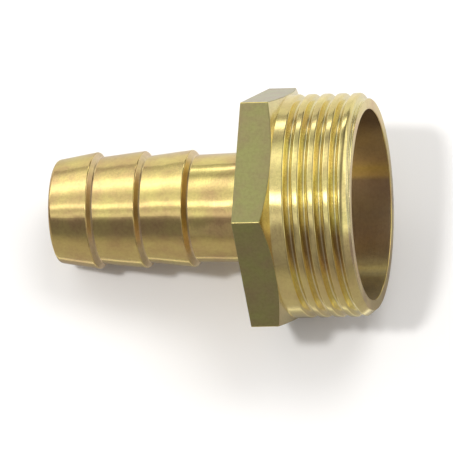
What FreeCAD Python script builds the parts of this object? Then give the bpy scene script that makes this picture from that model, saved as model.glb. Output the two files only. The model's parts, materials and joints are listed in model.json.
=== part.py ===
import FreeCAD, Part
import math
import os

import Sketcher

# Brass hose tail for a 14 mm hose, with a G 3/4 pipe thread, turned and drilled from hexagon bar.
# It is built lying along X: the hose tip is at x = 0, the hexagon follows, and the mouth points along +X.
# Its Placement then lays it down as it comes to rest, on the tip and on one flat's edge, mouth raised.

DIMENSIONS = [
    ("tail_length", 24.25, "barbed tail, from the tip to the hexagon"),
    ("tip_diameter", 12.2, "outside of the tail at the tip"),
    ("tip_rounding", 0.4, "radius on the tip's outer edge"),
    ("barb_diameter", 13.84, "over the barbs' ridges"),
    ("groove_diameter", 12.64, "behind each barb"),
    ("neck_diameter", 13.06, "tail where it meets the hexagon"),
    ("neck_length", 7.85, "from the last ridge to the hexagon"),
    ("barb_pitch", 5.77, "from one ridge to the next"),
    ("barb_step", 0.45, "length of the slope behind a ridge"),
    ("barb_land", 0.12, "narrow cylinder left on each ridge"),
    ("hose_bore", 9.5, "waterway through the tail"),
    ("across_flats", 26.4, "hexagon, flat to flat"),
    ("hexagon_length", 4.12, "hexagon along the axis"),
    ("hexagon_chamfer_diameter", 26.32, "circle left on the hexagon's thread side"),
    ("hexagon_chamfer_angle", 21.0, "degrees between that chamfer and the face"),
    ("thread_diameter", 26.26, "over the thread's crests"),
    ("thread_pitch", 1.814, "crest to crest, 14 threads an inch"),
    ("thread_depth", 0.8, "crest to root"),
    ("thread_root_width", 0.26, "flat at the bottom of the groove"),
    ("thread_angle", 55.0, "degrees between the groove's flanks"),
    ("thread_start_land", 0.54, "plain land where the groove starts"),
    ("shank_length", 9.35, "from the hexagon to the mouth"),
    ("shank_chamfer_length", 0.93, "bevel at the mouth, along the axis"),
    ("shank_chamfer_height", 0.72, "bevel at the mouth, across the axis"),
    ("mouth_bore", 22.4, "wide bore inside the thread"),
    ("mouth_bore_length", 8.4, "from the mouth to the drilled cone"),
    ("drill_point_angle", 118.0, "degrees across the cone at the bottom"),
]
BARB_COUNT = 3
HEXAGON_SIDES = 6
FULL_TURN = 360.0
CUT_OVERSHOOT = 0.3
SHEET = "Dimensions"
NODE = "hose_tail"


def dimension_sheet(doc):
    sheet = doc.addObject("Spreadsheet::Sheet", SHEET)
    for row, (alias, size, note) in enumerate(DIMENSIONS, start=1):
        sheet.set(f"A{row}", alias)
        sheet.set(f"B{row}", str(size))
        sheet.set(f"C{row}", note)
        sheet.setAlias(f"B{row}", alias)
    doc.recompute()
    return sheet


def cell(alias):
    return f"{SHEET}.{alias}"


def half(alias):
    return f"{SHEET}.{alias} / 2"


def origin_feature(body, role):
    return next(item for item in body.Origin.OriginFeatures if item.Role == role)


def new_sketch(body, name, role):
    sketch = body.newObject("Sketcher::SketchObject", name)
    sketch.AttachmentSupport = (origin_feature(body, role), [""])
    sketch.MapMode = "FlatFace"
    return sketch


# A closed outline through corners, each tied to the sketch's origin by two expressions.
def outline_sketch(body, name, corners):
    sketch = new_sketch(body, name, "XZ_Plane")
    places = [tuple(sketch.evalExpression(text) for text in corner) for corner in corners]
    points = [FreeCAD.Vector(along, across, 0) for along, across in places]
    count = len(points)
    for start in range(count):
        sketch.addGeometry(Part.LineSegment(points[start], points[(start + 1) % count]), False)
    for start in range(count):
        sketch.addConstraint(Sketcher.Constraint("Coincident", start, 2, (start + 1) % count, 1))
    for number, (corner, place) in enumerate(zip(corners, places)):
        for kind, text, value in zip(("DistanceX", "DistanceY"), corner, place):
            tie = sketch.addConstraint(Sketcher.Constraint(kind, -1, 1, number, 1, value))
            label = f"corner_{number}_{kind}"
            sketch.renameConstraint(tie, label)
            sketch.setExpression(f"Constraints.{label}", text)
    return sketch


def turned(body, kind, name, sketch):
    feature = body.newObject(kind, name)
    feature.Profile = sketch
    feature.ReferenceAxis = (sketch, ["H_Axis"])
    feature.Angle = FULL_TURN
    body.Document.recompute()
    return feature


# Each barb is a cone that rises towards the hexagon, with a narrow land for its ridge and a short
# slope behind it down into the next groove.
def add_tail(body):
    last_ridge = f"{cell('tail_length')} - {cell('neck_length')}"
    corners = [("0", "0"), ("0", half("tip_diameter"))]
    for barbs_after in reversed(range(BARB_COUNT)):
        ridge = f"{last_ridge} - {barbs_after} * {cell('barb_pitch')}"
        corners.append((f"{ridge} - {cell('barb_land')}", half("barb_diameter")))
        corners.append((ridge, half("barb_diameter")))
        corners.append((f"{ridge} + {cell('barb_step')}", half("groove_diameter")))
    corners.append((cell("tail_length"), half("neck_diameter")))
    corners.append((cell("tail_length"), "0"))
    sketch = outline_sketch(body, "TailOutline", corners)
    return turned(body, "PartDesign::Revolution", "Tail", sketch)


# The hose slides on over the tip, so its outer edge is rounded.
def round_tip(body, tail, diameter):
    edges = [
        f"Edge{number}"
        for number, edge in enumerate(tail.Shape.Edges, start=1)
        if isinstance(edge.Curve, Part.Circle) and math.isclose(2 * edge.Curve.Radius, diameter)
    ]
    fillet = body.newObject("PartDesign::Fillet", "TipRounding")
    fillet.Base = (tail, edges)
    fillet.setExpression("Radius", cell("tip_rounding"))
    body.Document.recompute()
    return fillet


# The bar's hexagon has two flats level, so that the finished part can lie on the lower one's edge.
def add_hexagon(body):
    sketch = new_sketch(body, "HexagonOutline", "YZ_Plane")
    sketch.setExpression("AttachmentOffset.Base.z", cell("tail_length"))
    corner_radius = sketch.evalExpression(half("across_flats")) / math.cos(math.pi / HEXAGON_SIDES)
    turns = [2 * math.pi * side / HEXAGON_SIDES for side in range(HEXAGON_SIDES)]
    corners = [
        FreeCAD.Vector(corner_radius * math.cos(turn), corner_radius * math.sin(turn), 0)
        for turn in turns
    ]
    for side in range(HEXAGON_SIDES):
        line = Part.LineSegment(corners[side], corners[(side + 1) % HEXAGON_SIDES])
        sketch.addGeometry(line, False)
    circle = Part.Circle(FreeCAD.Vector(0, 0, 0), FreeCAD.Vector(0, 0, 1), corner_radius)
    guide = sketch.addGeometry(circle, True)
    sketch.addConstraint(Sketcher.Constraint("Coincident", guide, 3, -1, 1))
    for side in range(HEXAGON_SIDES):
        following = (side + 1) % HEXAGON_SIDES
        sketch.addConstraint(Sketcher.Constraint("Coincident", side, 2, following, 1))
        sketch.addConstraint(Sketcher.Constraint("PointOnObject", side, 1, guide))
    last = HEXAGON_SIDES - 1
    for side in range(last):
        sketch.addConstraint(Sketcher.Constraint("Equal", side, side + 1))
    sketch.addConstraint(Sketcher.Constraint("PointOnObject", 0, 1, -1))
    width = corners[1].y - corners[last].y
    flats = sketch.addConstraint(Sketcher.Constraint("DistanceY", last, 1, 1, 1, width))
    sketch.renameConstraint(flats, "across_flats")
    sketch.setExpression("Constraints.across_flats", cell("across_flats"))
    pad = body.newObject("PartDesign::Pad", "Hexagon")
    pad.Profile = sketch
    pad.setExpression("Length", cell("hexagon_length"))
    body.Document.recompute()
    return pad


# The corners are turned back by a cone on the thread side only.
def chamfer_hexagon(body):
    face = f"{cell('tail_length')} + {cell('hexagon_length')}"
    corner_radius = f"{half('across_flats')} / cos(180 deg / {HEXAGON_SIDES})"
    reach = f"({corner_radius} + {CUT_OVERSHOOT})"
    slope = f"tan({cell('hexagon_chamfer_angle')} * 1 deg)"
    back = f"{face} - ({reach} - {half('hexagon_chamfer_diameter')}) * {slope}"
    corners = [(face, half("hexagon_chamfer_diameter")), (face, reach), (back, reach)]
    sketch = outline_sketch(body, "HexagonChamferOutline", corners)
    return turned(body, "PartDesign::Groove", "HexagonChamfer", sketch)


def mouth_place():
    return f"{cell('tail_length')} + {cell('hexagon_length')} + {cell('shank_length')}"


def add_shank(body):
    face = f"{cell('tail_length')} + {cell('hexagon_length')}"
    mouth = mouth_place()
    corners = [
        (face, "0"),
        (face, half("thread_diameter")),
        (f"{mouth} - {cell('shank_chamfer_length')}", half("thread_diameter")),
        (mouth, f"{half('thread_diameter')} - {cell('shank_chamfer_height')}"),
        (mouth, "0"),
    ]
    sketch = outline_sketch(body, "ShankOutline", corners)
    return turned(body, "PartDesign::Revolution", "Shank", sketch)


# One stepped hole runs right through: wide behind the thread, a drilled cone, then the hose bore.
def bore_waterway(body):
    mouth = mouth_place()
    cone_start = f"{mouth} - {cell('mouth_bore_length')}"
    point_slope = f"tan({half('drill_point_angle')} * 1 deg)"
    cone_length = f"({half('mouth_bore')} - {half('hose_bore')}) / {point_slope}"
    corners = [
        ("0", "0"),
        ("0", half("hose_bore")),
        (f"{cone_start} - {cone_length}", half("hose_bore")),
        (cone_start, half("mouth_bore")),
        (mouth, half("mouth_bore")),
        (mouth, "0"),
    ]
    sketch = outline_sketch(body, "WaterwayOutline", corners)
    return turned(body, "PartDesign::Groove", "Waterway", sketch)


# A V groove is carried round the shank by a right-hand helix, from the land by the hexagon past the mouth.
def cut_thread(body):
    flank = f"tan({half('thread_angle')} * 1 deg)"
    root = f"{half('thread_diameter')} - {cell('thread_depth')}"
    outside = f"{half('thread_diameter')} + {CUT_OVERSHOOT}"
    half_root = half("thread_root_width")
    half_crest = f"({half_root} + {cell('thread_depth')} * {flank})"
    half_outside = f"({half_root} + ({cell('thread_depth')} + {CUT_OVERSHOOT}) * {flank})"
    face = f"{cell('tail_length')} + {cell('hexagon_length')}"
    centre = f"{face} + {cell('thread_start_land')} + {half_crest}"
    corners = [
        (f"{centre} - {half_root}", f"-({root})"),
        (f"{centre} + {half_root}", f"-({root})"),
        (f"{centre} + {half_outside}", f"-({outside})"),
        (f"{centre} - {half_outside}", f"-({outside})"),
    ]
    sketch = outline_sketch(body, "ThreadOutline", corners)
    thread = body.newObject("PartDesign::SubtractiveHelix", "Thread")
    thread.Profile = sketch
    thread.ReferenceAxis = (sketch, ["H_Axis"])
    thread.Mode = "pitch-height-angle"
    thread.setExpression("Pitch", cell("thread_pitch"))
    thread.setExpression("Height", f"{mouth_place()} + {cell('thread_pitch')} - ({centre})")
    thread.Angle = 0
    thread.LeftHanded = False
    thread.Reversed = False
    body.Document.recompute()
    return thread


# At rest the tip's rounded edge and the hexagon's lower edge touch the floor, and the middle of
# the part's length and width is over the origin.
def resting_place(sheet):
    rounding = sheet.tip_rounding
    barbs_run = sheet.barb_land + (BARB_COUNT - 1) * sheet.barb_pitch
    first_cone = sheet.tail_length - sheet.neck_length - barbs_run
    slope = (sheet.barb_diameter - sheet.tip_diameter) / 2 / first_cone
    tip_height = sheet.tip_diameter / 2 - rounding * (math.hypot(1, slope) - slope)
    run = sheet.tail_length - rounding
    rise = sheet.across_flats / 2 - tip_height
    tilt = math.atan2(rise, run) - math.asin(rounding / math.hypot(run, rise))
    cosine = math.cos(tilt)
    sine = math.sin(tilt)
    mouth = sheet.tail_length + sheet.hexagon_length + sheet.shank_length
    rim_radius = sheet.thread_diameter / 2 - sheet.shank_chamfer_height
    low_end = rounding * cosine - tip_height * sine - rounding
    high_end = mouth * cosine + rim_radius * sine
    floor = sheet.tail_length * sine - sheet.across_flats / 2 * cosine
    turn = FreeCAD.Rotation(FreeCAD.Vector(0, 1, 0), -math.degrees(tilt))
    return FreeCAD.Placement(FreeCAD.Vector(-(low_end + high_end) / 2, 0, -floor), turn)


def hose_tail(doc, sheet):
    body = doc.addObject("PartDesign::Body", "HoseTail")
    body.Label = NODE
    tail = add_tail(body)
    round_tip(body, tail, sheet.tip_diameter)
    add_hexagon(body)
    chamfer_hexagon(body)
    add_shank(body)
    bore_waterway(body)
    cut_thread(body)
    body.Placement = resting_place(sheet)
    doc.recompute()
    return body


def check(doc, bodies):
    for item in doc.Objects:
        if "Invalid" in item.State or "Error" in item.State:
            raise RuntimeError(f"{item.Name} failed: {item.State}")
    for body in bodies:
        if body.Shape.isNull() or not body.Shape.isValid():
            raise RuntimeError(f"{body.Label} has no valid shape")
        if len(body.Shape.Solids) != 1:
            raise RuntimeError(f"{body.Label} is not one solid")


def main():
    doc = FreeCAD.newDocument("HoseTail")
    sheet = dimension_sheet(doc)
    bodies = [hose_tail(doc, sheet)]
    check(doc, bodies)
    os.makedirs("parts", exist_ok=True)
    for body in bodies:
        body.Shape.exportStep(os.path.join("parts", f"{body.Label}.step"))
        print(body.Label, round(body.Shape.Volume, 1), "mm3")


main()
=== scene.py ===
import json
import math

import bpy
import numpy as np
from mathutils import Matrix, Vector

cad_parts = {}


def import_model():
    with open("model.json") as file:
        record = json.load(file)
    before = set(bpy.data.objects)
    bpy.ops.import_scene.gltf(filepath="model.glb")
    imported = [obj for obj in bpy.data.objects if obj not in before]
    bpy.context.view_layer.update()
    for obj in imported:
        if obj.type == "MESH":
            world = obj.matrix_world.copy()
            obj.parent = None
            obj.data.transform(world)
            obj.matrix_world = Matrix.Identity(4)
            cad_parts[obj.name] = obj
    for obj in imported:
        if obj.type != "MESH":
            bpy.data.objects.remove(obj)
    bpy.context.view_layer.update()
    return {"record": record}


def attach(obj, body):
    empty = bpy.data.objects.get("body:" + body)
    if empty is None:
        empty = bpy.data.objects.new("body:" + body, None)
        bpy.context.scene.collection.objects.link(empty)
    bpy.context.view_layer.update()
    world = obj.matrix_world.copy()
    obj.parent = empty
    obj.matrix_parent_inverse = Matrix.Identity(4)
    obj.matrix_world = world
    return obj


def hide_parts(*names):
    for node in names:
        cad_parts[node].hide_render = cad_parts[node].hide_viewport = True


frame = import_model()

# The part's own sizes, in millimetres, with x = 0 at the hose tip.
MM = 0.001
TAIL_LENGTH = 24.25
TIP_RADIUS = 6.1
TIP_ROUNDING = 0.4
RIDGE_RADIUS = 6.92
GROOVE_RADIUS = 6.32
NECK_RADIUS = 6.53
NECK_LENGTH = 7.85
BARB_PITCH = 5.77
BARB_STEP = 0.45
BARB_LAND = 0.12
BARB_COUNT = 3
HALF_ACROSS_FLATS = 13.2
HEXAGON_LENGTH = 4.12
HEXAGON_SIDES = 6
HEXAGON_CHAMFER_RADIUS = 13.16
HEXAGON_CHAMFER_SLOPE = math.tan(math.radians(21.0))
CREST_RADIUS = 13.13
SHANK_LENGTH = 9.35
SHANK_CHAMFER_LENGTH = 0.93
SHANK_CHAMFER_HEIGHT = 0.72
THREAD_PITCH = 1.814
THREAD_DEPTH = 0.8
THREAD_ROOT_HALF = 0.13
THREAD_FLANK_SLOPE = math.tan(math.radians(27.5))
THREAD_START_LAND = 0.54
DRILL_POINT_SLOPE = math.tan(math.radians(59.0))

# How far each edge is worn or rounded back, and the angle over which the thread's start fades in.
RIDGE_WEAR = 0.1
GROOVE_FILLET = 0.15
NECK_FILLET = 0.15
TIP_BORE_WEAR = 0.12
HEXAGON_EDGE_WEAR = 0.09
HEXAGON_CORNER_RADIUS = 0.17
HEXAGON_EDGE_BAND = 0.3
CHAMFER_FOOT_WEAR = 0.02
RIM_WEAR = 0.12
RIM_EDGE_WEAR = 0.01
BORE_FOOT_WEAR = 0.2
CREST_WEAR = 0.14
ROOT_WEAR = 0.12
THREAD_FADE = math.radians(70.0)

# The largest share of a line beside it that the wear of an edge may take.
WEAR_SHARE = 0.45
THREAD_WEAR_SHARE = 0.9

# How finely the mesh is divided, and the ring on the hexagon's back face.
HEX_FACE_RING = 12.0
SAMPLES_ROUND = 300
CORNER_SAMPLES = (-1.0, -0.5, 0.5, 1.0)
CORNER_MARGIN = 1.01
CURVE_STEPS = 4
EDGE_STEPS = 2
TIP_STEPS = 7
SPARE_TURNS = 2
MERGE_DECIMALS = 6

# The surfaces, in the order of their materials, and the depth from which a groove counts as one.
TURNED, DRAWN, THREADED, BORED, CORNERS, STEP_FACE, GROOVED = range(7)
GROOVED_DEPTH = 0.2

# The photograph's camera: it looks at AIM, in millimetres, from these angles in degrees.
AIM = (0.585, -2.992, 11.305)
AZIMUTH = -94.946
ELEVATION = 67.608
ROLL = 9.653
DISTANCE = 0.8
LENS = 527.6
SENSOR_WIDTH = 36.0
CLIP_START = 0.01

mounts = {mount["name"]: mount for mount in frame["record"]["mounts"]}


def mount_end(name):
    mount = mounts[name]
    reach = mount["dims"]["length_mm"] * MM / 2
    return Vector(mount["pos_m"]) + Vector(mount["axis"]) * reach


tip = mount_end("hose_bore")
mouth = mount_end("mouth_bore")
HOSE_RADIUS = mounts["hose_bore"]["dims"]["r_mm"]
MOUTH_RADIUS = mounts["mouth_bore"]["dims"]["r_mm"]
MOUTH_DEPTH = mounts["mouth_bore"]["dims"]["length_mm"]
forward = (mouth - tip).normalized()
across = Vector((0, 1, 0))
up = forward.cross(across)
tilt = math.atan2(forward.z, forward.x)

HEX_BACK = TAIL_LENGTH
HEX_FRONT = TAIL_LENGTH + HEXAGON_LENGTH
MOUTH_X = HEX_FRONT + SHANK_LENGTH
BEVEL_X = MOUTH_X - SHANK_CHAMFER_LENGTH
BORE_FLOOR_X = MOUTH_X - MOUTH_DEPTH
HOSE_END_X = BORE_FLOOR_X - (MOUTH_RADIUS - HOSE_RADIUS) / DRILL_POINT_SLOPE
GROOVE_HALF = THREAD_ROOT_HALF + THREAD_DEPTH * THREAD_FLANK_SLOPE
FIRST_GROOVE_X = HEX_FRONT + THREAD_START_LAND + GROOVE_HALF

# Angles run from straight below round by +Y, which is the way the right-hand thread climbs.
corner_turn = 2 * math.pi / HEXAGON_SIDES
corner_centre = (HALF_ACROSS_FLATS - HEXAGON_CORNER_RADIUS) / math.cos(corner_turn / 2)
corner_reach = math.atan2(
    HEXAGON_CORNER_RADIUS * math.sin(corner_turn / 2),
    corner_centre + HEXAGON_CORNER_RADIUS * math.cos(corner_turn / 2),
)
corner_turns = [corner_turn * (number + 0.5) for number in range(HEXAGON_SIDES)]
around = np.array(
    sorted(
        [2 * math.pi * number / SAMPLES_ROUND for number in range(SAMPLES_ROUND)]
        + [turn + corner_reach * part for turn in corner_turns for part in CORNER_SAMPLES]
    )
)
COUNT = len(around)


def hexagon_radius():
    off_corner = (around % corner_turn) - corner_turn / 2
    flat = HALF_ACROSS_FLATS / np.cos(corner_turn / 2 - np.abs(off_corner))
    inside = HEXAGON_CORNER_RADIUS**2 - (corner_centre * np.sin(off_corner)) ** 2
    rounded = corner_centre * np.cos(off_corner) + np.sqrt(np.maximum(inside, 0))
    return np.where(np.abs(off_corner) < corner_reach, rounded, flat)


def station(x, radius):
    return np.stack([np.broadcast_to(x, COUNT), np.broadcast_to(radius, COUNT)], axis=1)


# Each stop is (x, radius, wear, curve steps, surface of the strip that leads to it).
def rings_through(stops):
    places = [station(x, radius) for x, radius, _, _, _ in stops]
    rings = []
    surfaces = []
    for number, (_, _, wear, steps, surface) in enumerate(stops):
        corner = places[number]
        if not wear:
            rings.append(corner)
            surfaces.append(surface)
            continue
        toward = []
        for neighbour in (places[number - 1], places[number + 1]):
            gap = neighbour - corner
            length = np.linalg.norm(gap, axis=1, keepdims=True)
            toward.append(gap / length * np.minimum(wear, length * WEAR_SHARE))
        for step in range(steps + 1):
            part = step / steps
            start = corner + toward[0] * (1 - part) ** 2
            rings.append(start + toward[1] * part**2)
            surfaces.append(surface)
    return rings, surfaces


def outside_stops():
    stops = [
        (HOSE_END_X, HOSE_RADIUS, 0, 0, BORED),
        (0.0, HOSE_RADIUS, TIP_BORE_WEAR, CURVE_STEPS, BORED),
        (0.0, TIP_RADIUS, TIP_ROUNDING, TIP_STEPS, TURNED),
    ]
    for number in range(BARB_COUNT):
        ridge = TAIL_LENGTH - NECK_LENGTH - (BARB_COUNT - 1 - number) * BARB_PITCH
        stops.append((ridge - BARB_LAND / 2, RIDGE_RADIUS, RIDGE_WEAR, CURVE_STEPS, TURNED))
        stops.append((ridge + BARB_STEP, GROOVE_RADIUS, GROOVE_FILLET, CURVE_STEPS, STEP_FACE))
    hexagon = hexagon_radius()
    slope_start = HEX_FRONT - (hexagon - HEXAGON_CHAMFER_RADIUS) * HEXAGON_CHAMFER_SLOPE
    stops += [
        (HEX_BACK, NECK_RADIUS, NECK_FILLET, CURVE_STEPS, TURNED),
        (HEX_BACK, HEX_FACE_RING, 0, 0, TURNED),
        (HEX_BACK, hexagon - HEXAGON_EDGE_BAND, 0, 0, TURNED),
        (HEX_BACK, hexagon, HEXAGON_EDGE_WEAR, EDGE_STEPS, DRAWN),
        (slope_start, hexagon, HEXAGON_EDGE_WEAR, EDGE_STEPS, DRAWN),
        (HEX_FRONT, HEXAGON_CHAMFER_RADIUS, CHAMFER_FOOT_WEAR, EDGE_STEPS, GROOVED),
        (HEX_FRONT, CREST_RADIUS, 0, 0, THREADED),
    ]
    return stops


# Half of the groove's section, as (distance from its centre, depth below the crest).
def groove_section():
    half_pitch = THREAD_PITCH / 2
    corners = [
        (0.0, THREAD_DEPTH),
        (THREAD_ROOT_HALF, THREAD_DEPTH),
        (GROOVE_HALF, 0.0),
        (half_pitch, 0.0),
    ]
    points = [corners[0]]
    for number, wear in ((1, ROOT_WEAR), (2, CREST_WEAR)):
        before, corner, after = (np.array(corners[number + shift]) for shift in (-1, 0, 1))
        lead_length = np.linalg.norm(before - corner)
        follow_length = np.linalg.norm(after - corner)
        lead = (before - corner) / lead_length
        follow = (after - corner) / follow_length
        lead_wear = min(wear, THREAD_WEAR_SHARE * lead_length)
        follow_wear = min(wear, THREAD_WEAR_SHARE * follow_length)
        for step in range(CURVE_STEPS + 1):
            part = step / CURVE_STEPS
            point = corner + lead * lead_wear * (1 - part) ** 2 + follow * follow_wear * part**2
            points.append(tuple(point))
        if number == 1:
            points.append(tuple((np.array(points[-1]) + np.array(corners[2])) / 2))
    points.append(corners[3])
    return np.array(points)


def thread_rows():
    section = groove_section()
    offsets = np.concatenate([-section[::-1, 0], section[1:-1, 0]])
    per_turn = len(offsets)
    climb = THREAD_PITCH * around / (2 * math.pi)
    turns = math.ceil(SHANK_LENGTH / THREAD_PITCH) + SPARE_TURNS
    lines = np.concatenate([offsets + THREAD_PITCH * turn for turn in range(-1, turns)])
    x = np.clip(FIRST_GROOVE_X + lines[:, None] + climb[None, :], HEX_FRONT, MOUTH_X)
    depth = np.zeros_like(x)
    fade = np.clip(around / THREAD_FADE, 0, 1)
    lift = THREAD_DEPTH * (1 - fade * fade * (3 - 2 * fade))
    for turn in range(turns):
        away = np.abs(x - FIRST_GROOVE_X - THREAD_PITCH * turn - climb[None, :])
        cut = np.interp(away, section[:, 0], section[:, 1])
        if turn == 0:
            cut = cut - lift[None, :]
        depth = np.maximum(depth, cut)
    bevel_slope = (SHANK_CHAMFER_HEIGHT + RIM_EDGE_WEAR) / SHANK_CHAMFER_LENGTH
    bevel = CREST_RADIUS - np.maximum(x - BEVEL_X, 0) * bevel_slope
    return np.stack([x, np.minimum(CREST_RADIUS - depth, bevel)], axis=2), depth, per_turn


def points_of(profile):
    x, radius = profile[..., 0], profile[..., 1]
    turn = np.broadcast_to(around, x.shape)
    return np.stack([x, radius * np.sin(turn), -radius * np.cos(turn)], axis=-1).reshape(-1, 3)


def build_mesh():
    points = []
    quads = []
    surfaces = []
    column = np.arange(COUNT)
    following = (column + 1) % COUNT

    off_corner = np.abs((around % corner_turn) - corner_turn / 2)
    on_corner = off_corner < corner_reach * CORNER_MARGIN
    worn = on_corner & on_corner[following]

    def add_strip(lower, upper, lower_next, upper_next, surface):
        quads.append(np.stack([lower, lower_next, upper_next, upper], axis=1))
        surfaces.append(np.where(worn & (surface == DRAWN), CORNERS, surface))

    outer, outer_surfaces = rings_through(outside_stops())
    points.append(points_of(np.array(outer)))
    for number in range(1, len(outer)):
        low, high = (number - 1) * COUNT, number * COUNT
        add_strip(low + column, high + column, low + following, high + following, outer_surfaces[number])

    rows, depths, per_turn = thread_rows()
    base = sum(len(part) for part in points)
    points.append(points_of(rows))
    last = len(rows) - 1
    for number in range(last):
        low = base + number * COUNT + column
        high = low + COUNT
        low_next = base + number * COUNT + following
        high_next = low_next + COUNT
        low_next[-1] = base + min(number + per_turn, last) * COUNT
        high_next[-1] = base + min(number + 1 + per_turn, last) * COUNT
        deep = np.minimum(depths[number], depths[number + 1]) > GROOVED_DEPTH
        add_strip(low, high, low_next, high_next, np.where(deep, GROOVED, THREADED))

    rim = rows[-1, :, 1]
    inner, inner_surfaces = rings_through(
        [
            (MOUTH_X, rim, 0, 0, TURNED),
            (MOUTH_X, MOUTH_RADIUS, RIM_WEAR, CURVE_STEPS, TURNED),
            (BORE_FLOOR_X, MOUTH_RADIUS, BORE_FOOT_WEAR, CURVE_STEPS, BORED),
            (HOSE_END_X, HOSE_RADIUS, 0, 0, BORED),
        ]
    )
    base = sum(len(part) for part in points)
    points.append(points_of(np.array(inner)))
    for number in range(1, len(inner)):
        low, high = base + (number - 1) * COUNT, base + number * COUNT
        add_strip(low + column, high + column, low + following, high + following, inner_surfaces[number])

    places, joined = np.unique(
        np.round(np.concatenate(points), MERGE_DECIMALS), axis=0, return_inverse=True
    )
    faces = joined.reshape(-1)[np.concatenate(quads)]
    kinds = np.concatenate(surfaces)
    turned = places * MM @ np.array([forward, across, up])
    return turned + np.array(tip), faces, kinds


def without_repeats(face):
    return [corner for number, corner in enumerate(face) if corner != face[number - 1]]


def tail_object():
    places, faces, kinds = build_mesh()
    polygons = []
    kept_kinds = []
    for face, kind in zip(faces.tolist(), kinds.tolist()):
        corners = without_repeats(face)
        if len(set(corners)) > 2 and len(set(corners)) == len(corners):
            polygons.append(corners)
            kept_kinds.append(kind)
    mesh = bpy.data.meshes.new("brass_hose_tail")
    mesh.from_pydata(places.tolist(), [], polygons)
    mesh.polygons.foreach_set("material_index", kept_kinds)
    mesh.polygons.foreach_set("use_smooth", [True] * len(polygons))
    mesh.update()
    normals = np.zeros((len(places), 3))
    for polygon in mesh.polygons:
        for corner in polygon.vertices:
            normals[corner] += np.array(polygon.normal) * polygon.area
    normals /= np.linalg.norm(normals, axis=1, keepdims=True)
    mesh.normals_split_custom_set_from_vertices(normals.tolist())
    piece = bpy.data.objects.new("brass_hose_tail", mesh)
    bpy.context.scene.collection.objects.link(piece)
    return piece


def add_node(tree, kind, **settings):
    node = tree.nodes.new(kind)
    for name, value in settings.items():
        if name in node.inputs:
            node.inputs[name].default_value = value
        else:
            setattr(node, name, value)
    return node


def set_ramp(ramp, stops):
    while len(ramp.elements) > 1:
        ramp.elements.remove(ramp.elements[-1])
    for number, (position, colour) in enumerate(stops):
        element = ramp.elements[0] if number == 0 else ramp.elements.new(position)
        element.position = position
        element.color = colour


def grey(value):
    return (value, value, value, 1.0)


def multiplied(tree, first, second):
    both = add_node(tree, "ShaderNodeVectorMath", operation="MULTIPLY")
    tree.links.new(first, both.inputs[0])
    tree.links.new(second, both.inputs[1])
    return both.outputs["Vector"]


def ramped(tree, stops, factor):
    ramp = add_node(tree, "ShaderNodeValToRGB")
    set_ramp(ramp.color_ramp, stops)
    tree.links.new(factor, ramp.inputs["Fac"])
    return ramp.outputs["Color"]


def noise(tree, vector, scale, detail, unevenness):
    node = add_node(tree, "ShaderNodeTexNoise", Scale=scale, Detail=detail, Roughness=unevenness)
    tree.links.new(vector, node.inputs["Vector"])
    return node.outputs["Fac"]


def bumped(tree, height, strength, distance, normal=None):
    node = add_node(tree, "ShaderNodeBump", Strength=strength, Distance=distance)
    tree.links.new(height, node.inputs["Height"])
    if normal is not None:
        tree.links.new(normal, node.inputs["Normal"])
    return node.outputs["Normal"]


# Blotches and flecks in the colour, then the lines, the grain and the long waves in the surface.
BLOTCH_SCALE = 260.0
BLOTCH_DETAIL = 4.0
BLOTCH_UNEVENNESS = 0.6
BLOTCH_EDGES = (0.35, 0.62)
FLECK_SCALE = 3000.0
FLECK_TONES = ((0.36, (0.91, 0.9, 0.9, 1.0)), (0.6, (1.0, 1.0, 1.0, 1.0)))
FINE_DETAIL = 3.0
FINE_UNEVENNESS = 0.6
LINE_UNEVENNESS = 0.65
LINE_HEIGHT = 0.00003
WAVE_SCALE = 240.0
WAVE_DETAIL = 1.0
WAVE_UNEVENNESS = 0.4
WAVE_HEIGHT = 0.0003
FILM_ROUGHNESS = 0.2


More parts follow.
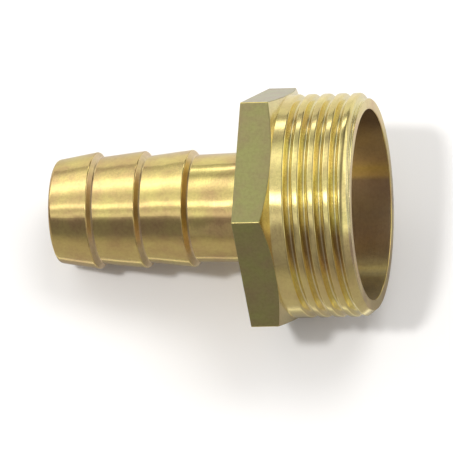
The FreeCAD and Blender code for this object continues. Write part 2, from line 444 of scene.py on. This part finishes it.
# Brass in the part's own coordinates, so that turning lines run round its axis.
def brass(
    name,
    colour,
    tint,
    roughness,
    rough_spread,
    line_scale,
    line_bump,
    grain_scale,
    grain_bump,
    wave_bump,
    film=0.0,
    tones=None,
    metal_levels=None,
):
    material = bpy.data.materials.new(name)
    material.use_nodes = True
    tree = material.node_tree
    tree.nodes.clear()
    link = tree.links.new
    output = add_node(tree, "ShaderNodeOutputMaterial")
    shader = add_node(tree, "ShaderNodeBsdfPrincipled", Metallic=1.0)
    shader.inputs["Coat Weight"].default_value = film
    shader.inputs["Coat Roughness"].default_value = FILM_ROUGHNESS
    link(shader.outputs["BSDF"], output.inputs["Surface"])
    world_place = add_node(tree, "ShaderNodeTexCoord")
    tip_place = tuple(-axis.dot(tip) for axis in (forward, across, up))
    mapping = add_node(tree, "ShaderNodeMapping", Location=tip_place)
    mapping.inputs["Rotation"].default_value = (0.0, tilt, 0.0)
    link(world_place.outputs["Object"], mapping.inputs["Vector"])
    place = mapping.outputs["Vector"]

    blotch = noise(tree, place, BLOTCH_SCALE, BLOTCH_DETAIL, BLOTCH_UNEVENNESS)
    blotch_tones = zip(BLOTCH_EDGES, ((*tint, 1.0), (*colour, 1.0)))
    fleck = noise(tree, place, FLECK_SCALE, FINE_DETAIL, FINE_UNEVENNESS)
    paint = multiplied(
        tree, ramped(tree, blotch_tones, blotch), ramped(tree, FLECK_TONES, fleck)
    )
    # The tones across the part paint light and shade into the colour.
    if tones:
        parts = add_node(tree, "ShaderNodeSeparateXYZ")
        link(place, parts.inputs["Vector"])
        width = add_node(tree, "ShaderNodeMapRange")
        width.inputs["From Min"].default_value = -MOUTH_RADIUS * MM
        width.inputs["From Max"].default_value = MOUTH_RADIUS * MM
        link(parts.outputs["Y"], width.inputs["Value"])
        place_across = width.outputs["Result"]
        paint = multiplied(tree, paint, ramped(tree, tones, place_across))
        if metal_levels:
            levels = [(position, grey(level)) for position, level in metal_levels]
            link(ramped(tree, levels, place_across), shader.inputs["Metallic"])
    link(paint, shader.inputs["Base Color"])

    stretch = add_node(tree, "ShaderNodeMapping", Scale=line_scale)
    link(place, stretch.inputs["Vector"])
    lines = noise(tree, stretch.outputs["Vector"], 1.0, FINE_DETAIL, LINE_UNEVENNESS)
    grain = noise(tree, place, grain_scale, FINE_DETAIL, FINE_UNEVENNESS)
    wave = noise(tree, place, WAVE_SCALE, WAVE_DETAIL, WAVE_UNEVENNESS)

    spread = add_node(tree, "ShaderNodeMapRange")
    spread.inputs["To Min"].default_value = roughness
    spread.inputs["To Max"].default_value = roughness + rough_spread
    link(lines, spread.inputs["Value"])
    link(spread.outputs["Result"], shader.inputs["Roughness"])

    normal = bumped(tree, lines, line_bump, LINE_HEIGHT)
    normal = bumped(tree, grain, grain_bump, LINE_HEIGHT, normal)
    normal = bumped(tree, wave, wave_bump, WAVE_HEIGHT, normal)
    link(normal, shader.inputs["Normal"])
    return material


# Each metal's colour, and the tint of its blotches.
BRASS = (0.95, 0.79, 0.28)
WARM_BRASS = (0.80, 0.565, 0.25)
THREAD_BRASS = (0.93, 0.80, 0.31)
THREAD_TINT = (0.82, 0.66, 0.28)
DRAWN_BRASS = (0.45, 0.435, 0.145)
DRAWN_TINT = (0.45, 0.37, 0.16)
STEP_BRASS = (0.92, 0.78, 0.42)
STEP_TINT = (1.0, 0.82, 0.5)
DULL_BRASS = (0.95, 0.8, 0.52)
DULL_TINT = (0.84, 0.69, 0.45)
GROOVE_BRASS = (0.88, 0.8, 0.39)
GROOVE_TINT = (0.84, 0.7, 0.35)

# Tones by the place across the part, from 0 on the near side to 1 on the far side.
# Painted light along the bore: a bright band on the far side, a glint line on the near side and painted
# shade between them.
BORE_PAINTED_LIGHT = (
    (0.0, (0.85, 0.85, 0.9, 1.0)),
    (0.1, (0.95, 0.95, 0.95, 1.0)),
    (0.18, (0.95, 0.98, 0.85, 1.0)),
    (0.3, (0.95, 1.0, 0.75, 1.0)),
    (0.335, (1.0, 1.0, 0.6, 1.0)),
    (0.38, (0.9, 0.95, 0.78, 1.0)),
    (0.425, (0.7, 0.72, 0.74, 1.0)),
    (0.54, (0.7, 0.68, 0.74, 1.0)),
    (0.6, (0.66, 0.64, 0.7, 1.0)),
    (0.65, (0.56, 0.54, 0.64, 1.0)),
    (0.77, (0.52, 0.49, 0.62, 1.0)),
    (0.81, (0.54, 0.5, 0.6, 1.0)),
    (0.83, (0.95, 0.88, 0.62, 1.0)),
    (0.86, (1.0, 0.95, 0.6, 1.0)),
    (0.89, (0.84, 0.78, 0.72, 1.0)),
    (0.925, (0.74, 0.72, 0.78, 1.0)),
    (0.96, (0.76, 0.74, 0.85, 1.0)),
    (1.0, (0.7, 0.7, 0.85, 1.0)),
)
# The bore is less metallic along its near side, least at the painted glint line.
BORE_METAL_LEVELS = (
    (0.0, 0.92),
    (0.27, 0.88),
    (0.315, 0.62),
    (0.335, 0.5),
    (0.36, 0.74),
    (0.42, 0.97),
    (0.46, 1.0),
)
# Tones on the barbs' steps: darker across the middle, with painted highlights on the near and the far
# side.
STEP_HIGHLIGHT_TONES = (
    (0.2, (0.95, 0.92, 0.9, 1.0)),
    (0.27, (0.9, 0.84, 0.85, 1.0)),
    (0.31, (0.62, 0.54, 0.45, 1.0)),
    (0.36, (0.5, 0.45, 0.4, 1.0)),
    (0.52, (0.52, 0.44, 0.38, 1.0)),
    (0.58, (0.58, 0.5, 0.4, 1.0)),
    (0.62, (0.9, 0.85, 0.65, 1.0)),
    (0.67, (0.9, 0.85, 0.75, 1.0)),
    (0.7, (1.0, 0.98, 1.0, 1.0)),
)
# Painted shade in the thread's grooves and on the hexagon's chamfer, in a band on the near side.
GROOVE_SHADE_TONES = (
    (0.0, (1.0, 1.0, 1.0, 1.0)),
    (0.04, (0.95, 0.88, 0.95, 1.0)),
    (0.09, (0.76, 0.69, 0.76, 1.0)),
    (0.14, (0.75, 0.68, 0.75, 1.0)),
    (0.2, (1.0, 1.0, 1.0, 1.0)),
)

# A line scale is how closely the lines lie along the axis and the two ways across it.
piece = tail_object()
surfaces = [
    brass(
        "turned_brass",
        BRASS,
        WARM_BRASS,
        roughness=0.10,
        rough_spread=0.08,
        line_scale=(9000.0, 60.0, 60.0),
        line_bump=0.12,
        grain_scale=700.0,
        grain_bump=0.12,
        wave_bump=0.35,
    ),
    brass(
        "drawn_brass",
        DRAWN_BRASS,
        DRAWN_TINT,
        roughness=0.55,
        rough_spread=0.1,
        line_scale=(120.0, 2500.0, 2500.0),
        line_bump=0.25,
        grain_scale=7000.0,
        grain_bump=0.4,
        wave_bump=0.1,
        film=0.8,
    ),
    brass(
        "threaded_brass",
        THREAD_BRASS,
        THREAD_TINT,
        roughness=0.11,
        rough_spread=0.1,
        line_scale=(14000.0, 60.0, 60.0),
        line_bump=0.1,
        grain_scale=800.0,
        grain_bump=0.15,
        wave_bump=0.3,
    ),
    brass(
        "bored_brass",
        DULL_BRASS,
        DULL_TINT,
        roughness=0.26,
        rough_spread=0.15,
        line_scale=(5000.0, 40.0, 40.0),
        line_bump=0.3,
        grain_scale=1400.0,
        grain_bump=0.05,
        wave_bump=0.1,
        tones=BORE_PAINTED_LIGHT,
        metal_levels=BORE_METAL_LEVELS,
    ),
    brass(
        "rubbed_brass",
        THREAD_BRASS,
        BRASS,
        roughness=0.2,
        rough_spread=0.1,
        line_scale=(2500.0, 400.0, 400.0),
        line_bump=0.1,
        grain_scale=1400.0,
        grain_bump=0.2,
        wave_bump=0.1,
    ),
    brass(
        "step_brass",
        STEP_BRASS,
        STEP_TINT,
        roughness=0.25,
        rough_spread=0.15,
        line_scale=(6000.0, 200.0, 200.0),
        line_bump=0.1,
        grain_scale=1400.0,
        grain_bump=0.2,
        wave_bump=0.1,
        tones=STEP_HIGHLIGHT_TONES,
    ),
    brass(
        "grooved_brass",
        GROOVE_BRASS,
        GROOVE_TINT,
        roughness=0.14,
        rough_spread=0.12,
        line_scale=(14000.0, 60.0, 60.0),
        line_bump=0.1,
        grain_scale=800.0,
        grain_bump=0.15,
        wave_bump=0.3,
        tones=GROOVE_SHADE_TONES,
    ),
]
for material in surfaces:
    piece.data.materials.append(material)
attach(piece, "root")
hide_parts("hose_tail")


# A pale floor that keeps the shadows, by how far it turns from the eye: 0 faces it, 1 is edge-on.
# At the camera's angle it is white. At any other its colour is painted shade, darkest on the near side,
# which the brass mirrors.
NEAR_TONES = (
    (0.05, (0.45, 0.43, 0.42, 1.0)),
    (0.06, (1.0, 0.985, 0.965, 1.0)),
    (0.09, (1.0, 0.985, 0.965, 1.0)),
    (0.1, (0.42, 0.39, 0.38, 1.0)),
    (0.32, (0.37, 0.342, 0.34, 1.0)),
    (0.6, (0.35, 0.32, 0.315, 1.0)),
    (0.74, (0.325, 0.295, 0.29, 1.0)),
    (0.87, (0.265, 0.24, 0.235, 1.0)),
    (1.0, (0.2, 0.18, 0.18, 1.0)),
)
# The far side's painted shade is lighter, and only grows as the angle gets low.
FAR_TONES = (
    (0.09, (1.0, 0.985, 0.965, 1.0)),
    (0.3, (0.91, 0.9, 0.88, 1.0)),
    (0.7, (0.68, 0.67, 0.65, 1.0)),
)
# Where the near side's tones end and the far side's begin, in metres along Y.
FAR_SIDE = (-0.004, 0.046)
FLOOR_SIZE = 3.0
FACING_BLEND = 0.5

# The Mix node's two colours and its result, which it keeps under these numbers.
MIX_FIRST, MIX_SECOND, MIX_RESULT = 6, 7, 2


def floor():
    corners = [(-1, -1), (1, -1), (1, 1), (-1, 1)]
    mesh = bpy.data.meshes.new("floor")
    mesh.from_pydata([(FLOOR_SIZE * x, FLOOR_SIZE * y, 0) for x, y in corners], [], [(0, 1, 2, 3)])
    plane = bpy.data.objects.new("floor", mesh)
    bpy.context.scene.collection.objects.link(plane)
    material = bpy.data.materials.new("floor")
    material.use_nodes = True
    tree = material.node_tree
    tree.nodes.clear()
    link = tree.links.new
    output = add_node(tree, "ShaderNodeOutputMaterial")
    facing = add_node(tree, "ShaderNodeLayerWeight", Blend=FACING_BLEND)
    place = add_node(tree, "ShaderNodeTexCoord")
    parts = add_node(tree, "ShaderNodeSeparateXYZ")
    link(place.outputs["Object"], parts.inputs["Vector"])
    side = add_node(tree, "ShaderNodeMapRange")
    side.inputs["From Min"].default_value = FAR_SIDE[0]
    side.inputs["From Max"].default_value = FAR_SIDE[1]
    link(parts.outputs["Y"], side.inputs["Value"])
    tone = add_node(tree, "ShaderNodeMix", data_type="RGBA")
    link(side.outputs["Result"], tone.inputs["Factor"])
    for number, tones in ((MIX_FIRST, NEAR_TONES), (MIX_SECOND, FAR_TONES)):
        link(ramped(tree, tones, facing.outputs["Facing"]), tone.inputs[number])
    diffuse = add_node(tree, "ShaderNodeBsdfDiffuse")
    link(tone.outputs[MIX_RESULT], diffuse.inputs["Color"])
    link(diffuse.outputs["BSDF"], output.inputs["Surface"])
    mesh.materials.append(material)


floor()

# Each light is its brightness by degrees up from the near side, and its share by x of the direction.
# Long soft lamps that run along X.
STRIPES = (
    (0.0, 0.26),
    (8.0, 0.21),
    (30.0, 0.2),
    (36.0, 0.22),
    (41.0, 0.3),
    (44.5, 0.55),
    (47.0, 1.05),
    (52.0, 1.1),
    (56.0, 0.9),
    (61.0, 0.72),
    (66.0, 0.82),
    (70.0, 1.0),
    (78.0, 1.1),
    (82.0, 1.12),
    (88.0, 1.02),
    (96.0, 0.94),
    (104.0, 0.93),
    (112.0, 1.25),
    (117.0, 1.45),
    (126.0, 1.4),
    (131.0, 1.1),
    (138.0, 0.7),
    (144.0, 0.5),
    (150.0, 0.6),
    (157.0, 0.85),
    (165.0, 0.95),
    (172.0, 0.74),
    (180.0, 0.5),
)
STRIPE_REACH = (
    (-1.0, 0.3),
    (-0.85, 1.0),
    (-0.3, 1.0),
    (-0.1, 0.5),
    (0.2, 0.3),
    (0.5, 0.45),
    (0.7, 1.2),
    (0.9, 1.25),
    (0.96, 0.4),
)

# The near lamp over the tail, and the far lamp, which is stronger towards the tip.
NEAR_RISE = ((67.0, 0.0), (69.5, 0.85), (78.0, 0.85), (81.0, 0.0))
NEAR_REACH = ((-0.2, 1.0), (0.0, 0.0))
FAR_RISE = (
    (115.0, 0.0),
    (123.0, 0.6),
    (129.0, 1.2),
    (141.0, 1.5),
    (148.0, 0.95),
    (158.0, 0.5),
    (172.0, 0.0),
)
FAR_REACH = ((-0.57, 1.0), (-0.46, 0.0))

# A dim card low on the near side, towards the mouth.
CARD_RISE = ((0.0, 0.1), (18.0, 0.17), (38.0, 0.24), (46.0, 0.0))
CARD_REACH = ((-0.43, 0.0), (-0.38, 1.0))

# Two small lamps, each a glint on the thread and the neck.
NEAR_GLINT_RISE = ((65.5, 0.0), (68.5, 3.6), (76.5, 3.6), (80.0, 0.0))
NEAR_GLINT_REACH = ((-0.51, 0.0), (-0.48, 1.0), (-0.38, 1.0), (-0.34, 0.0))
FAR_GLINT_RISE = ((157.0, 0.0), (160.0, 2.4), (165.0, 2.4), (169.0, 0.0))
FAR_GLINT_REACH = ((-0.38, 0.0), (-0.34, 1.0), (-0.1, 1.0), (0.0, 0.0))

# A wide lamp over the mouth's end, which lights the bevel.
MOUTH_RISE = (
    (84.0, 0.0),
    (92.0, 0.06),
    (110.0, 0.05),
    (120.0, 0.28),
    (127.0, 0.45),
    (133.0, 0.6),
    (140.0, 0.75),
    (149.0, 1.0),
    (156.0, 1.0),
    (162.0, 0.5),
    (168.0, 0.1),
    (172.0, 0.0),
)
MOUTH_REACH = ((0.48, 0.0), (0.57, 1.0))

LIGHTS = (
    (STRIPES, STRIPE_REACH),
    (NEAR_RISE, NEAR_REACH),
    (FAR_RISE, FAR_REACH),
    (CARD_RISE, CARD_REACH),
    (NEAR_GLINT_RISE, NEAR_GLINT_REACH),
    (FAR_GLINT_RISE, FAR_GLINT_REACH),
    (MOUTH_RISE, MOUTH_REACH),
)

# The light near the horizon on the near side is faintly pink.
SKY_TINTS = (
    (0.0, (0.84, 0.77, 0.84, 1.0)),
    (42.0, (0.84, 0.77, 0.84, 1.0)),
    (47.0, (0.8, 0.8, 0.8, 1.0)),
)
HALF_TURN = 180.0

# The two lamps that cast the shadows: where each stands, its strength and its width in degrees.
LAMPS = (
    ("key", (-0.49, -0.27, 1.0), 1.12, 5.0),
    ("second", (0.14, 0.42, 1.0), 0.74, 26.0),
)


def world():
    scene_world = bpy.data.worlds.new("studio")
    bpy.context.scene.world = scene_world
    scene_world.use_nodes = True
    tree = scene_world.node_tree
    tree.nodes.clear()
    link = tree.links.new
    output = add_node(tree, "ShaderNodeOutputWorld")
    background = add_node(tree, "ShaderNodeBackground")
    link(background.outputs["Background"], output.inputs["Surface"])
    direction = add_node(tree, "ShaderNodeTexCoord")
    parts = add_node(tree, "ShaderNodeSeparateXYZ")
    link(direction.outputs["Generated"], parts.inputs["Vector"])
    near = add_node(tree, "ShaderNodeMath", operation="MULTIPLY")
    near.inputs[1].default_value = -1.0
    link(parts.outputs["Y"], near.inputs[0])
    angle = add_node(tree, "ShaderNodeMath", operation="ARCTAN2")
    link(parts.outputs["Z"], angle.inputs[0])
    link(near.outputs["Value"], angle.inputs[1])
    share = add_node(tree, "ShaderNodeMath", operation="DIVIDE")
    share.inputs[1].default_value = math.pi
    link(angle.outputs["Value"], share.inputs[0])
    along = add_node(tree, "ShaderNodeMapRange")
    along.inputs["From Min"].default_value = -1.0
    link(parts.outputs["X"], along.inputs["Value"])

    total = None
    for rise, reach in LIGHTS:
        top = max(level for _, level in rise)
        rise_stops = [(degrees / HALF_TURN, grey(level / top)) for degrees, level in rise]
        reach_stops = [((x + 1.0) / 2.0, grey(level)) for x, level in reach]
        both = add_node(tree, "ShaderNodeMath", operation="MULTIPLY")
        link(ramped(tree, rise_stops, share.outputs["Value"]), both.inputs[0])
        link(ramped(tree, reach_stops, along.outputs["Result"]), both.inputs[1])
        level = add_node(tree, "ShaderNodeMath", operation="MULTIPLY_ADD")
        level.inputs[1].default_value = top
        level.inputs[2].default_value = 0.0
        link(both.outputs["Value"], level.inputs[0])
        if total:
            link(total, level.inputs[2])
        total = level.outputs["Value"]
    link(total, background.inputs["Strength"])
    tints = [(degrees / HALF_TURN, colour) for degrees, colour in SKY_TINTS]
    link(ramped(tree, tints, share.outputs["Value"]), background.inputs["Color"])


world()


def shadow_lamps():
    for name, place, strength, width in LAMPS:
        lamp = bpy.data.lights.new(name, "SUN")
        lamp.energy = strength
        lamp.angle = math.radians(width)
        holder = bpy.data.objects.new(name, lamp)
        holder.rotation_euler = Vector(place).to_track_quat("Z", "Y").to_euler()
        holder.visible_glossy = False
        bpy.context.scene.collection.objects.link(holder)


shadow_lamps()


def camera():
    turn, rise, roll = (math.radians(value) for value in (AZIMUTH, ELEVATION, ROLL))
    away = Vector((math.cos(rise) * math.cos(turn), math.cos(rise) * math.sin(turn), math.sin(rise)))
    level = Vector((0, 0, 1)).cross(away).normalized()
    over = away.cross(level)
    right = level * math.cos(roll) + over * math.sin(roll)
    top = away.cross(right)
    place = Matrix((right, top, away)).transposed().to_4x4()
    place.translation = Vector(AIM) * MM + away * DISTANCE
    lens = bpy.data.cameras.new("camera")
    lens.lens = LENS
    lens.sensor_width = SENSOR_WIDTH
    lens.clip_start = CLIP_START
    view = bpy.data.objects.new("camera", lens)
    view.matrix_world = place
    bpy.context.scene.collection.objects.link(view)
    bpy.context.scene.camera = view


camera()
bpy.context.scene.view_settings.view_transform = "Standard"
